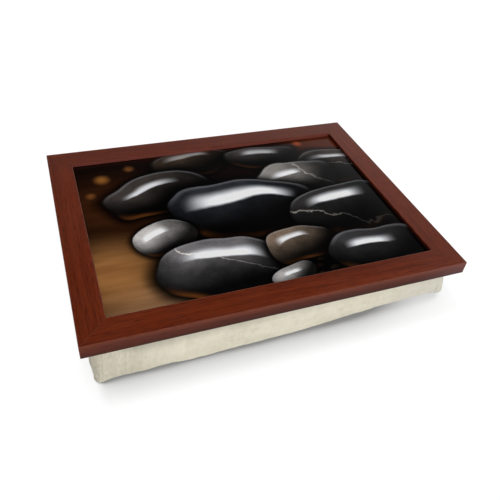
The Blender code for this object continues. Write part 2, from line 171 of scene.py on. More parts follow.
# Each crease's side (0 front, 1 right, 2 rear, 3 left), its place along that, its depth and half width, and
# the lowest and highest share of the wall's height that it spans
CREASES = (
    (0, -0.1800, 0.0007, 0.0022, 0.05, 1.00),
    (0, -0.1485, 0.0011, 0.0020, 0.20, 0.75),
    (0, -0.1160, 0.0007, 0.0026, 0.35, 1.05),
    (0, -0.0855, 0.0004, 0.0030, 0.40, 1.05),
    (0, -0.0610, 0.0004, 0.0030, 0.40, 1.05),
    (0, 0.0520, 0.0003, 0.0035, 0.30, 0.90),
    (0, 0.1120, 0.0003, 0.0030, 0.45, 1.05),
    (0, 0.1620, 0.0004, 0.0030, 0.40, 1.05),
    (1, -0.1180, 0.0007, 0.0028, 0.35, 1.05),
    (1, -0.0630, 0.0004, 0.0032, 0.15, 0.80),
    (1, 0.0240, 0.0006, 0.0026, 0.40, 1.05),
    (1, 0.0970, 0.0005, 0.0030, 0.10, 0.75),
    (2, -0.1670, 0.0006, 0.0028, 0.35, 1.05),
    (2, -0.0930, 0.0005, 0.0032, 0.15, 0.85),
    (2, -0.0210, 0.0004, 0.0034, 0.45, 1.05),
    (2, 0.0640, 0.0006, 0.0028, 0.30, 0.95),
    (2, 0.1430, 0.0007, 0.0024, 0.40, 1.05),
    (3, -0.1230, 0.0009, 0.0024, 0.20, 1.00),
    (3, -0.0720, 0.0006, 0.0028, 0.40, 1.05),
    (3, 0.0150, 0.0005, 0.0030, 0.15, 0.80),
    (3, 0.0960, 0.0006, 0.0028, 0.35, 1.05),
)

# The loop tapes' stitching
STITCH_INSET = 0.0010
STITCH_PITCH = 0.0032
STITCH_SHARE = 0.76
STITCH_SIDES = 6
THREAD_RADIUS = 0.00024
# Along the stitch, its rise in thread radii and its girth
STITCH_RINGS = ((0.0, -1.4, 0.7), (0.12, -0.4, 0.95), (0.5, 0.0, 1.0), (0.88, -0.4, 0.95), (1.0, -1.4, 0.7))

# The weave and the hardboard's screen: turns of a sine for each metre
THREAD_TURNS = 2 * math.pi / 0.0011
SCREEN_TURNS = 2 * math.pi / 0.0030

# Each fade from here on is its first and last place, and its value at each if that isn't 0 and 1.
# The rails: how far their grain sways, then by distance from their outer sides the skin of those sides, their
# inner walls, their arrises, which also end at a depth below the top, and the line along each mitre
GRAIN_SWAY = (0, 0.007, 0.007)
SKIN = (0.0010, 0.0002)
INNER_WALL = (RAIL_WIDTH - 0.002, RAIL_WIDTH - 0.001)
ARRIS_WIDTH = (0.0014, 0.0002)
ARRIS_DEPTHS = (0.0020, 0.0004)
MITRE_LINE = (0.0006, 0.0002)
# Their painted shade: it deepens down the outer sides to a share at the foot, which is less at the left
# end. It is strong on the inner walls that face along X. On top they are a little darker at the rear
SIDE_SHADE_DEPTHS = (0.0035, 0.0165)
SIDE_SHADE_TOP = 0.02
SIDE_SHADE_FOOT = (-0.220, -0.100, 0.55, 0.86)
END_WALL_SHADE = 0.70
REAR_DARKENING = (0.105, 0.140, 0.0, 0.17)
# Where they are paler: painted light on the inner walls that face along Y, the arrises, rubbed paler and
# also given a painted highlight, a painted highlight in a band along the top of the outer sides, which is
# less at the left end, and a painted sheen on those sides' right ends
LIT_WALL_SHARE = 0.9
RUBBED_AND_HIGHLIGHT_SHARES = (0.05, 0.40)
SIDE_HIGHLIGHT_DEPTHS = (0.0080, 0.0020)
SIDE_HIGHLIGHT_ACROSS = (-0.220, -0.100, 0.20, 0.36)
RIGHT_END_SHEEN = (0.150, 0.215, 0.0, 0.27)

# The cotton: painted shade at its foot, darker blotches at its front left corner, the frame's painted shade
# on the front's upper edge, which weakens from left to right, and painted shade at the right end
FOOT_SHADE = (0.0, 0.006, 0.16, 0.0)
DARK_CORNER_ACROSS = (-0.110, -0.205)
DARK_CORNER_BACK = (-0.060, -0.120)
DARK_CORNER_SHARES = (0.12, 0.42)
SHADE_HEIGHTS = (0.0290, 0.0410)
SHADE_START = (-0.190, -0.165)
SHADE_ACROSS = (-0.165, 0.120, 0.30, 0.03)
SHADE_BACK = (-0.145, -0.150)
RIGHT_END_SHADE = (0.100, 0.175, 0.0, 0.20)

# The print's soft lights: the share of each that is fully bright, then centre, size, colour and strength
GLOW_CORE = 0.10
GLOWS = (
    ((-0.150, 0.040), (0.120, 0.090), (0.050, 0.020, 0.0065), 0.90),
    ((-0.175, -0.075), (0.095, 0.080), (0.270, 0.150, 0.064), 0.85),
    ((0.000, 0.125), (0.110, 0.045), (0.050, 0.016, 0.006), 0.70),
    ((0.175, 0.115), (0.095, 0.060), (0.120, 0.030, 0.009), 0.70),
    ((-0.120, -0.140), (0.130, 0.055), (0.230, 0.150, 0.092), 0.80),
    ((-0.158, 0.100), (0.014, 0.014), (0.330, 0.170, 0.055), 0.55),
    ((-0.120, 0.118), (0.010, 0.010), (0.300, 0.150, 0.055), 0.40),
    ((-0.176, 0.068), (0.009, 0.009), (0.300, 0.150, 0.050), 0.35),
    ((0.132, 0.128), (0.010, 0.010), (0.330, 0.100, 0.034), 0.45),
)
GRAVEL_SCALE = 62.0
# The whole picture's gamma, the gain after it, and the brightest that the ink gets
PRINT_CONTRAST = 1.38
PRINT_GAIN = 2.25
PRINT_WHITE = 0.80
# The light on its stones, how square they are, and the veins of quartz that some have: angle, offset, breadth
STONE_LIGHT = (-0.30, 0.72, 0.55)
STONE_SQUARENESS = 2.25
QUARTZ = {2: (1.2, 0.4, 0.03), 4: (0.4, 0.9, 0.05), 6: (0.9, 0.1, 0.035), 8: (1.0, 0.7, 0.03)}
# The stones, back to front: centre, size, turn and body colour, then the window's reflection (middle, half
# length, level, half height), its shine, the warm light along the stone's foot and the blur of its outline
STONES = (
    ((-0.030, 0.112), (0.060, 0.028), 5, (0.080, 0.058, 0.044), (-0.1, 0.60, 0.45, 0.2), 0.30, 0.4, 0.120),
    ((0.068, 0.104), (0.054, 0.026), -6, (0.070, 0.064, 0.062), (0.0, 0.55, 0.40, 0.2), 0.45, 0.3, 0.080),
    ((0.176, 0.060), (0.062, 0.040), -10, (0.055, 0.046, 0.042), (-0.3, 0.50, 0.48, 0.1), 0.60, 0.4, 0.045),
    ((-0.092, 0.052), (0.070, 0.040), 9, (0.060, 0.052, 0.048), (-0.1, 0.60, 0.44, 0.1), 0.70, 0.7, 0.036),
    ((0.096, 0.046), (0.060, 0.040), 4, (0.200, 0.190, 0.180), (-0.2, 0.52, 0.50, 0.1), 0.80, 0.4, 0.026),
    ((0.008, 0.000), (0.096, 0.062), -5, (0.036, 0.038, 0.044), (-0.05, 0.80, 0.40, 0.16), 1.00, 0.5, 0.013),
    ((0.136, -0.030), (0.078, 0.048), 6, (0.040, 0.038, 0.038), (0.00, 0.66, 0.46, 0.14), 0.95, 0.5, 0.015),
    ((-0.110, -0.030), (0.040, 0.027), 14, (0.360, 0.345, 0.335), (-0.2, 0.50, 0.42, 0.14), 0.85, 0.6, 0.024),
    ((-0.052, -0.092), (0.080, 0.046), -8, (0.150, 0.145, 0.148), (0.0, 0.70, 0.44, 0.14), 1.00, 0.9, 0.014),
    ((0.052, -0.082), (0.044, 0.030), 12, (0.190, 0.150, 0.118), (-0.1, 0.55, 0.42, 0.13), 0.75, 0.6, 0.020),
    ((0.136, -0.112), (0.066, 0.040), -4, (0.052, 0.050, 0.052), (-0.1, 0.62, 0.44, 0.12), 0.90, 0.6, 0.016),
    ((0.014, -0.128), (0.032, 0.019), 4, (0.300, 0.290, 0.285), (0.1, 0.50, 0.40, 0.14), 0.80, 0.7, 0.030),
)

# The floor: its size, how pale it is to light and in reflections, and how far it lies under the cushion.
# Light passes through it to the cushion's flat underside and to what touches it
FLOOR_SIZE = 6.0
FLOOR_PALE = 0.90
FLOOR_MIRRORED = 0.45
FLOOR_DROP = 0.0003
TOUCHING = 0.007
UNDERSIDE_HALF = (0.200, 0.151)
# As the camera sees it: lit a little by the lamps, else white, with a painted shadow where the tray hides the
# room close by, most of all in front of the cushion and against it
FLOOR_SHADE = 0.14
FLOOR_GLOW = (0.8, 2.4, 0.92, 0.99)
CONTACT_REACH = 0.044
CONTACT_SAMPLES = 24
CONTACT_FRONT = (-0.115, -0.145, 0.22, 0.95)
CONTACT_LEFT = (-0.214, -0.200, 0.10, 1.0)
CONTACT_RIGHT = (0.080, 0.195, 1.0, 0.38)
CONTACT_EXTRA = (0.36, 0.56, 0.0, 0.33)
CONTACT_DARKEST = 0.84

# The room's light by height, its tilt towards +X, and the lamps: name, place, size, power
ROOM = ((0.0, 0.95), (0.26, 0.95), (0.43, 0.08), (0.56, 0.01))
ROOM_TILT = 0.30
LAMPS = (
    ("ceiling", (0, 0, 2.6), 4.0, 30.0),
    ("key", (-0.12, 0.33, 1.7), 0.45, 12.0),
    ("front_fill", (0.1, -1.6, 0.8), 1.0, 11.0),
    ("rear_fill", (-0.3, 1.7, 0.9), 1.0, 4.0),
)


def smooth(value):
    """0 up to 0, 1 from 1, and an even rise between them."""
    value = np.clip(value, 0.0, 1.0)
    return value * value * (3 - 2 * value)


class Edge:
    """Places round the cushion's edge, anticlockwise from the middle of its front left corner.

    Each has a param, which is the side's number plus how far along that side the place is.
    """

    def __init__(self, turns, step, seam_steps=()):
        rows = []
        self.side_starts = []
        for side, start in enumerate(CORNERS):
            end = CORNERS[(side + 1) % len(CORNERS)]
            heading = 90 * side - 90
            length = 2 * (HALF_LENGTH if side % 2 == 0 else HALF_DEPTH) - 2 * CORNER_RADIUS
            shares = self.run_shares(length, step, seam_steps)
            self.side_starts.append(len(rows))
            for turn in (45.0, *reversed(turns)):
                rows.append((*start, *start, 0.0, heading - turn, side + CORNER_SPAN * (1 - turn / 45)))
            for share in shares:
                param = side + CORNER_SPAN + (1 - 2 * CORNER_SPAN) * share
                rows.append((*start, *end, share, heading, param))
            for turn in turns:
                rows.append((*end, *end, 0.0, heading + turn, side + 1 - CORNER_SPAN * (1 - turn / 45)))
        table = np.array(rows)
        self.start = table[:, 0:2]
        self.end = table[:, 2:4]
        self.share = table[:, 4]
        self.heading = np.radians(table[:, 5])
        self.param = table[:, 6]
        level = np.isclose(table[:, 5] % 90, 0)
        long_side = np.isclose(np.abs(np.sin(self.heading)), 1)
        self.seams = np.flatnonzero(level & long_side & np.isin(self.share, (0.0, 1.0)))
        self.count = len(rows)
        self.outside = self.place(0.0, CORNER_RADIUS)
        self.x, self.y = self.outside.T
        self.facing_front = np.maximum(-np.sin(self.heading), 0)
        self.facing_left = np.maximum(-np.cos(self.heading), 0)
        self.facing_right = np.maximum(np.cos(self.heading), 0)

    @staticmethod
    def run_shares(length, step, seam_steps):
        """The places along a straight run: close together by the seams at its ends, then even."""
        near = [0.0, *(distance / length for distance in seam_steps)]
        first = near[-1]
        count = max(round(length * (1 - 2 * first) / step), 1)
        middle = [first + (1 - 2 * first) * index / count for index in range(1, count)]
        return [*near, *middle, *(1 - share for share in reversed(near))]

    def place(self, inset, radius):
        """The plan positions on the round-cornered outline, moved in by the inset."""
        left = np.maximum(radius - inset, LEAST_RADIUS)
        arc = np.stack([np.cos(self.heading), np.sin(self.heading)], axis=1)
        half = np.array([HALF_LENGTH, HALF_DEPTH])
        reach = half - np.reshape(inset + left, (-1, 1))
        from_start = self.start * reach
        from_end = self.end * reach
        return from_start + (from_end - from_start) * self.share[:, None] + arc * np.reshape(left, (-1, 1))


def length_share(x):
    """0 at the cushion's left end and 1 at its right."""
    return (x / HALF_LENGTH + 1) / 2


def bottom_height(x, y):
    """The cushion's underside: flat on the floor, but lifted at its front right corner, which is slack."""
    first, last = LIFT_SHARES
    along = smooth((length_share(x) - first) / (last - first))
    along = along * (1 - DROOP_SHARE * smooth(1 - (HALF_LENGTH - x) / DROOP_RUN))
    return LIFT * along * smooth(1 - (y + HALF_DEPTH) / LIFT_RUN)


def bottom_roll(x, y):
    """The bottom edge's radius, which is tighter at the front left corner, where the beads press outwards."""
    near = smooth(1 - np.hypot(x + HALF_LENGTH, y + HALF_DEPTH) / TIGHT_ROLL_RUN)
    return ROLL * (1 - (1 - TIGHT_ROLL_SHARE) * near)


def side_ring(edge, height, inset):
    """A ring of the cushion's side, with the front's slump and the right front corner's slack."""
    down = np.clip(1 - height / WALL_TOP, 0, 1)
    slump = FRONT_SLUMP * edge.facing_front * np.maximum(1 - length_share(edge.x) / SLUMP_END_SHARE, 0)
    lean = LEFT_LEAN + CORNER_LEAN * smooth(1 - (edge.y + HALF_DEPTH) / CORNER_LEAN_RUN)
    lean = lean * edge.facing_left
    near = np.clip(1 - (HALF_LENGTH - edge.x) / CORNER_RUN, 0, 1) * (1 - (edge.y / HALF_DEPTH + 1) / 2)
    slack = edge.facing_right * near * (CORNER_DRAW - CORNER_BULGE * down)
    at_corner = (edge.x > 0) & (edge.y < 0)
    radius = CORNER_RADIUS + np.where(at_corner, (SLACK_CORNER_RADIUS - CORNER_RADIUS) * (1 - down), 0)
    pressed = (edge.x < 0) & (edge.y < 0)
    radius = radius + np.where(pressed, (PRESSED_CORNER_RADIUS - CORNER_RADIUS) * down, 0)
    plan = edge.place(inset + (lean - slump) * down + slack, radius)
    return np.column_stack([plan, height + 0 * edge.x])


def margin_height(x, y):
    """The top's height next to its edge: low under the tapes, and puffed up to the rails past their ends."""
    by_long = smooth((LONG_TAPE_HALF + TAPE_FADE - np.abs(x)) / TAPE_FADE)
    by_short = smooth((SHORT_TAPE_HALF + TAPE_FADE - np.abs(y)) / TAPE_FADE)
    long_side = (HALF_DEPTH - np.abs(y)) < (HALF_LENGTH - np.abs(x))
    return MARGIN_TOP + PUFF * (1 - np.where(long_side, by_long, by_short))


class Form:
    """The cushion's whole surface: rings up its side and over its edge, and a grid for each flat side.

    A ring's param is 0 to 1 up the bottom's roll, to 2 up the wall and to 3 over the top edge and the margin.
    """

    def __init__(self, edge, turns, wall_steps, insets):
        self.edge = edge
        lift = bottom_height(edge.x, edge.y)
        roll = bottom_roll(edge.x, edge.y)
        rings = []
        params = []
        for turn in turns:
            angle = math.radians(turn)
            rings.append(side_ring(edge, lift + roll * (1 - math.cos(angle)), roll * (1 - math.sin(angle))))
            params.append(turn / 90)
        for step in range(1, wall_steps + 1):
            share = step / wall_steps
            foot = lift + roll
            inset = -SWELL * math.sin(math.pi * share)
            rings.append(side_ring(edge, foot + (WALL_TOP - foot) * share, inset + 0 * lift))
            params.append(1 + share)
        for inset in insets:
            ring = side_ring(edge, WALL_TOP + 0 * lift, inset + 0 * lift)
            ring[:, 2] = top_edge_height(ring[:, 0], ring[:, 1], inset)
            rings.append(ring)
            params.append(2 + inset / MARGIN)
        self.rings = np.array(rings)
        self.ring_params = np.array(params)
        self.top = self.panel(self.rings[-1])
        self.bottom = self.panel(self.rings[0])
        crown = smooth((HALF_LENGTH - MARGIN - np.abs(self.top[..., 0])) / CROWN_RUN)
        crown = crown * smooth((HALF_DEPTH - MARGIN - np.abs(self.top[..., 1])) / CROWN_RUN)
        base = margin_height(self.top[..., 0], self.top[..., 1])
        self.top[..., 2] = base + (CROWN_TOP - base) * crown
        self.bottom[..., 2] = bottom_height(self.bottom[..., 0], self.bottom[..., 1])

    def sides(self):
        """Each side's places on a ring, the first and last of them shared with its neighbours."""
        starts = [*self.edge.side_starts, self.edge.count]
        return [np.arange(first, last + 1) % self.edge.count for first, last in zip(starts, starts[1:])]

    def panel(self, ring):
        """A grid of points that fills a ring, blended from its four sides."""
        front, right, rear, left = (ring[places] for places in self.sides())
        rear = rear[::-1]
        left = left[::-1]
        along = self.grid_shares(0)[None, :, None]
        across = self.grid_shares(1)[:, None, None]
        ruled_y = front[None] * (1 - across) + rear[None] * across
        ruled_x = left[:, None] * (1 - along) + right[:, None] * along
        corners = (front[0] * (1 - along) + front[-1] * along) * (1 - across)
        corners = corners + (rear[0] * (1 - along) + rear[-1] * along) * across
        return ruled_x + ruled_y - corners

    def grid_shares(self, side):
        """How far along a panel each of its grid lines lies, from the outline's own places."""
        axis = side % 2
        line = self.edge.outside[self.sides()[side]][:, axis]
        return (line - line[0]) / (line[-1] - line[0])

    def border(self, grid, ring):
        """The grid with the ring's own values round its border."""
        grid = grid.copy()
        front, right, rear, left = (ring[places] for places in self.sides())
        grid[0] = front
        grid[:, -1] = right
        grid[-1] = rear[::-1]
        grid[:, 0] = left[::-1]
        return grid

    def mesh(self, name):
        """The closed mesh. Its vertices are the rings' and then each panel's inner ones."""
        count = self.edge.count
        ring_ids = np.arange(len(self.rings) * count).reshape(len(self.rings), count)
        places = [self.rings.reshape(-1, 3)]
        faces = []
        low, high = ring_ids[:-1], ring_ids[1:]
        following = np.roll(ring_ids, -1, axis=1)
        quads = np.stack([low, following[:-1], following[1:], high], axis=-1).reshape(-1, 4)
        faces.append(quads)
        used = ring_ids.size
        for grid, ring, flip in ((self.top, ring_ids[-1], False), (self.bottom, ring_ids[0], True)):
            inner = grid[1:-1, 1:-1]
            ids = np.zeros(grid.shape[:2], dtype=int)
            ids[1:-1, 1:-1] = used + np.arange(inner.shape[0] * inner.shape[1]).reshape(inner.shape[:2])
            ids = self.border(ids, ring)
            used += inner.shape[0] * inner.shape[1]
            places.append(inner.reshape(-1, 3))
            quads = np.stack([ids[:-1, :-1], ids[:-1, 1:], ids[1:, 1:], ids[1:, :-1]], axis=-1).reshape(-1, 4)
            faces.append(quads[:, ::-1] if flip else quads)
        mesh = bpy.data.meshes.new(name)
        mesh.from_pydata(np.concatenate(places).tolist(), [], np.concatenate(faces).tolist())
        mesh.update()
        return mesh

    def split(self, values):
        """Values for each of the mesh's vertices, as the rings' array and the top's and bottom's grids."""
        count = self.rings.shape[0] * self.rings.shape[1]
        rings = values[:count].reshape(self.rings.shape[0], self.rings.shape[1], -1)
        grids = []
        for grid, ring in ((self.top, rings[-1]), (self.bottom, rings[0])):
            rows, columns = grid.shape[0] - 2, grid.shape[1] - 2
            full = np.zeros((rows + 2, columns + 2, values.shape[1]))
            full[1:-1, 1:-1] = values[count:count + rows * columns].reshape(rows, columns, -1)
            count += rows * columns
            grids.append(self.border(full, ring))
        return rings, *grids


def top_edge_height(x, y, inset):
    """The height of the top's edge: over its round shoulder and then down to the margin."""
    if inset < SHOULDER:
        return WALL_TOP + math.sqrt(SHOULDER ** 2 - (SHOULDER - inset) ** 2) + 0 * x
    margin = margin_height(x, y)
    return margin + (EDGE_TOP - margin) * (1 - smooth((inset - SHOULDER) / SHOULDER))


def spline(knots, places, period=None):
    """A matrix that carries values at the knots to the places on a smooth curve through them."""
    matrix = np.zeros((len(places), len(knots)))
    extended = np.append(knots, knots[0] + period) if period else knots
    last = len(extended) - 2
    for row, place in enumerate(places):
        first = int(np.clip(np.searchsorted(extended, place, side="right") - 1, 0, last))
        share = (place - extended[first]) / (extended[first + 1] - extended[first])
        square, cube = share ** 2, share ** 3
        weights = (
            -0.5 * cube + square - 0.5 * share,
            1.5 * cube - 2.5 * square + 1,
            -1.5 * cube + 2 * square + 0.5 * share,
            0.5 * cube - 0.5 * square,
        )
        for offset, weight in enumerate(weights, start=-1):
            index = first + offset
            index = index % len(knots) if period else min(max(index, 0), len(knots) - 1)
            matrix[row, index] += weight
    return matrix


def add_object(name, data):
    """A new object in the scene."""
    added = bpy.data.objects.new(name, data)
    bpy.context.scene.collection.objects.link(added)
    return added


def vertex_values(mesh):
    """Each vertex's place, and the direction that the surface faces there."""
    places = np.array([vertex.co for vertex in mesh.vertices])
    return places, np.array([vertex.normal for vertex in mesh.vertices])


def simulated_folds(form):
    """Blow the cushion up as cloth held at its seams, and give how far each vertex moves from its form."""
    mesh = form.mesh("cushion_cloth")
    body = add_object("cushion_cloth", mesh)
    rest, normals = vertex_values(mesh)
    uneven = np.array([noise.noise(Vector(place) * CLOTH_SEED_SCALE) for place in rest])
    starting = rest - normals * (CLOTH_SHRINK + CLOTH_UNEVEN * uneven)[:, None]
    mesh.vertices.foreach_set("co", starting.ravel())
    held = body.vertex_groups.new(name="held")
    in_rings = form.edge.count * len(form.rings)
    upper = in_rings - form.edge.count * CLOTH_HELD_RINGS
    low = [index for index in range(in_rings, len(rest)) if rest[index][2] < RAIL_UNDERSIDE / 2]
    held.add([*range(form.edge.count), *range(upper, in_rings), *low], 1.0, "REPLACE")
    settings = body.modifiers.new("cloth", "CLOTH").settings
    for key, value in CLOTH.items():
        setattr(settings, key, value)
    settings.effector_weights.gravity = 0.0
    scene = bpy.context.scene
    for number in range(1, CLOTH_FRAMES + 1):
        scene.frame_set(number)
    settled = body.evaluated_get(bpy.context.evaluated_depsgraph_get())
    moved = np.array([vertex.co for vertex in settled.data.vertices])
    scene.frame_set(1)
    bpy.data.objects.remove(body)
    bpy.data.meshes.remove(mesh)
    shift = moved - rest
    length = np.linalg.norm(shift, axis=1, keepdims=True)
    return shift * FOLD_CAP * np.tanh(length / FOLD_CAP) / np.maximum(length, 1e-9)


def carry_folds(form, coarse, shift):
    """Add the simulated folds to the fine form, less their mean swell, which the form has already."""
    rings, top, bottom = coarse.split(shift)
    heading = coarse.edge.heading
    outward = np.stack([np.cos(heading), np.sin(heading), 0 * heading], axis=1)
    swell = (rings * outward).sum(axis=-1).mean(axis=1)
    rings = rings - swell[:, None, None] * outward
    upwards = spline(coarse.ring_params, form.ring_params)
    round_edge = spline(coarse.edge.param, form.edge.param, period=len(CORNERS))
    form.rings += np.einsum("rc,us,csk->ruk", upwards, round_edge, rings, optimize=True)
    lines = [
        spline(coarse.edge.param[coarse.sides()[side]], form.edge.param[form.sides()[side]])
        for side in (0, 1)
    ]
    for grid, folds in ((form.top, top), (form.bottom, bottom)):
        grid += np.einsum("rc,us,csk->ruk", lines[1], lines[0], folds, optimize=True)


def hold_clear(form):
    """Keep the cushion on the floor and under the rails, the tapes and the points."""
    under_rail = np.maximum(np.abs(form.top[..., 0]) - HALF_LENGTH, np.abs(form.top[..., 1]) - HALF_DEPTH)
    ceiling = np.where(under_rail > CUSHION_INSET - RAIL_WIDTH, EDGE_TOP, CROWN_TOP)
    form.top[..., 2] = np.minimum(form.top[..., 2], ceiling)
    form.rings[..., 2] = np.clip(form.rings[..., 2], 0, EDGE_TOP)
    form.bottom[..., 2] = np.maximum(form.bottom[..., 2], 0)
    for index, param in enumerate(form.ring_params):
        inset = (param - 2) * MARGIN
        if inset > SHOULDER:
            ring = form.rings[index]
            ring[:, 2] = np.minimum(ring[:, 2], top_edge_height(ring[:, 0], ring[:, 1], inset))


def crease(across, height, depth, width, low, high):
    """A sewn-in fold: a furrow between two soft ridges, over part of the wall's height."""
    reach = smooth((height - low) / CREASE_FADE) * smooth((high - height) / CREASE_FADE)
    furrow = np.exp(-(across / width) ** 2)
    ridges = np.exp(-((np.abs(across) - 2 * width) / width) ** 2)
    return depth * reach * (furrow - RIDGE_SHARE * ridges)


def side_depths(form):
    """How far each point of the rings lies below the smooth form, for seams, puckers and creases."""
    edge = form.edge
    x, y = edge.x[None, :], edge.y[None, :]
    steps = np.linalg.norm(np.roll(edge.outside, -1, axis=0) - edge.outside, axis=1)
    run = (np.cumsum(steps) - steps)[None, :]
    height = form.rings[..., 2] / WALL_TOP
    param = form.ring_params[:, None]
    roll_run = (param - BOTTOM_SEAM_PARAM) * math.radians(90) * ROLL
    first, last = WALL_PARAMS
    on_wall = smooth((param - first) / WALL_FADES[0]) * smooth((last - param) / WALL_FADES[1])
    depths = SEAM_DEPTH * np.exp(-(roll_run / SEAM_WIDTH) ** 2)
    beside_seams = np.exp(-np.abs(roll_run) / PUCKER_REACH)
    top_run = (param - TOP_SEAM_PARAM) * MARGIN
    depths = depths + TOP_SEAM_DEPTH * np.exp(-(top_run / SEAM_WIDTH) ** 2)
    for place in edge.seams:
        away = run - run[0, place]
        depths = depths + on_wall * SEAM_DEPTH * np.exp(-(away / SEAM_WIDTH) ** 2)
        beside_seams = np.maximum(beside_seams, on_wall * np.exp(-np.abs(away) / PUCKER_REACH))
    for side, along, *shape in CREASES:
        facing = np.cos(edge.heading - math.radians(90 * side - 90)) > CREASE_FACING
        across = (x if side % 2 == 0 else y) - along
        depths = depths + facing * crease(across, height, *shape)
    front_left = (y < 0) * np.maximum(edge.facing_front, edge.facing_left)[None, :]
    crumple = smooth(1 - (x + HALF_LENGTH) / CRUMPLE_RUN) * front_left
    wave = WAVE_DEPTH * np.sin((x - WAVE_START) / WAVE_LENGTH * 2 * math.pi)
    wave = wave * smooth((WAVE_END - x) / WAVE_LENGTH)
    first, last = FOOT_SPAN
    drawn_in = FOOT_DRAW * smooth((x - first) / FOOT_FADE) * smooth((last - x) / FOOT_FADE)
    foot = (wave + drawn_in) * edge.facing_front[None, :] * np.clip(1 - height, 0, 1)
    fine = np.zeros_like(height)
    rough = np.zeros_like(height)
    for ring in range(height.shape[0]):
        for place in range(height.shape[1]):
            spot = Vector(form.rings[ring, place])
            fine[ring, place] = noise.noise(spot * PUCKER_SCALE)
            rough[ring, place] = noise.turbulence(spot * CRUMPLE_SCALE, 2, False)
    depths = depths + PUCKER_DEPTH * beside_seams * fine
    depths = depths + CRUMPLE_DEPTH * crumple * on_wall * rough
    return depths + foot * on_wall


def smooth_piece(name, mesh, material):
    """A new object of the mesh, shaded smooth."""
    mesh.polygons.foreach_set("use_smooth", [True] * len(mesh.polygons))
    mesh.materials.append(material)
    return add_object(name, mesh)


def make_cushion(material):
    """The cover: its form, the folds that the cloth simulation gives it, and then its seams and creases."""
    form = Form(Edge(FINE_TURNS, FINE_STEP, SEAM_STEPS), ROLL_TURNS, WALL_STEPS, TOP_INSETS)
    coarse = Form(Edge(SIM_TURNS, SIM_STEP), SIM_ROLL_TURNS, SIM_WALL_STEPS, SIM_TOP_INSETS)
    carry_folds(form, coarse, simulated_folds(coarse))
    depths = side_depths(form)
    mesh = form.mesh("cushion_cover")
    count = depths.size
    places, normals = vertex_values(mesh)
    places[:count] -= normals[:count] * depths.reshape(-1, 1)
    form.rings, form.top, form.bottom = form.split(places)
    hold_clear(form)
    bpy.data.meshes.remove(mesh)
    cover = smooth_piece("cushion_cover", form.mesh("cushion_cover"), material)
    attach(cover, "cushion")
    replaced = [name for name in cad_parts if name.startswith("cushion_")]
    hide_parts(*replaced, "bead_bag")


def stitch_rows():
    """The lines that the loop tapes are sewn along: each one's start, direction and length."""
    rows = []
    directions = (Vector((1, 0, 0)), Vector((0, 1, 0)))
    for side in ("front", "rear", "left", "right"):
        low, high = (Vector(corner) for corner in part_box(f"loop_strip_{side}"))
        along, across = directions if side in ("front", "rear") else reversed(directions)
        length = (high - low).dot(along) - 2 * STITCH_INSET
        width = (high - low).dot(across) - 2 * STITCH_INSET
        middle = (low + high) / 2
        middle.z = high.z
        for end in (-1, 1):
            rows.append((middle + across * end * width / 2 - along * length / 2, along, length))
            rows.append((middle + along * end * length / 2 - across * width / 2, across, width))
    return rows


def make_stitching(material):
    """The thread that sews the loop tapes to the cover, one short rounded stitch after another."""
    verts = []
    faces = []
    upwards = Vector((0, 0, 1))
    for start, along, length in stitch_rows():
        count = round(length / STITCH_PITCH)
        pitch = length / count
        sideways = along.cross(upwards)
        for index in range(count):
            first = len(verts)
            for share, rise, girth in STITCH_RINGS:
                run = pitch * (index + STITCH_SHARE * share)
                centre = start + along * run + upwards * rise * THREAD_RADIUS
                for turn in range(STITCH_SIDES):
                    angle = 2 * math.pi * turn / STITCH_SIDES
                    offset = sideways * math.cos(angle) + upwards * math.sin(angle)
                    verts.append(centre + offset * THREAD_RADIUS * girth)
            for ring in range(len(STITCH_RINGS) - 1):
                for turn in range(STITCH_SIDES):
                    a = first + ring * STITCH_SIDES + turn
                    b = first + ring * STITCH_SIDES + (turn + 1) % STITCH_SIDES
                    faces.append((a, b, b + STITCH_SIDES, a + STITCH_SIDES))
            faces.append([first + turn for turn in reversed(range(STITCH_SIDES))])
            faces.append([len(verts) - STITCH_SIDES + turn for turn in range(STITCH_SIDES)])
    mesh = bpy.data.meshes.new("loop_stitching")
    mesh.from_pydata([tuple(place) for place in verts], [], faces)
    thread = smooth_piece("loop_stitching", mesh, material)
    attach(thread, "cushion")


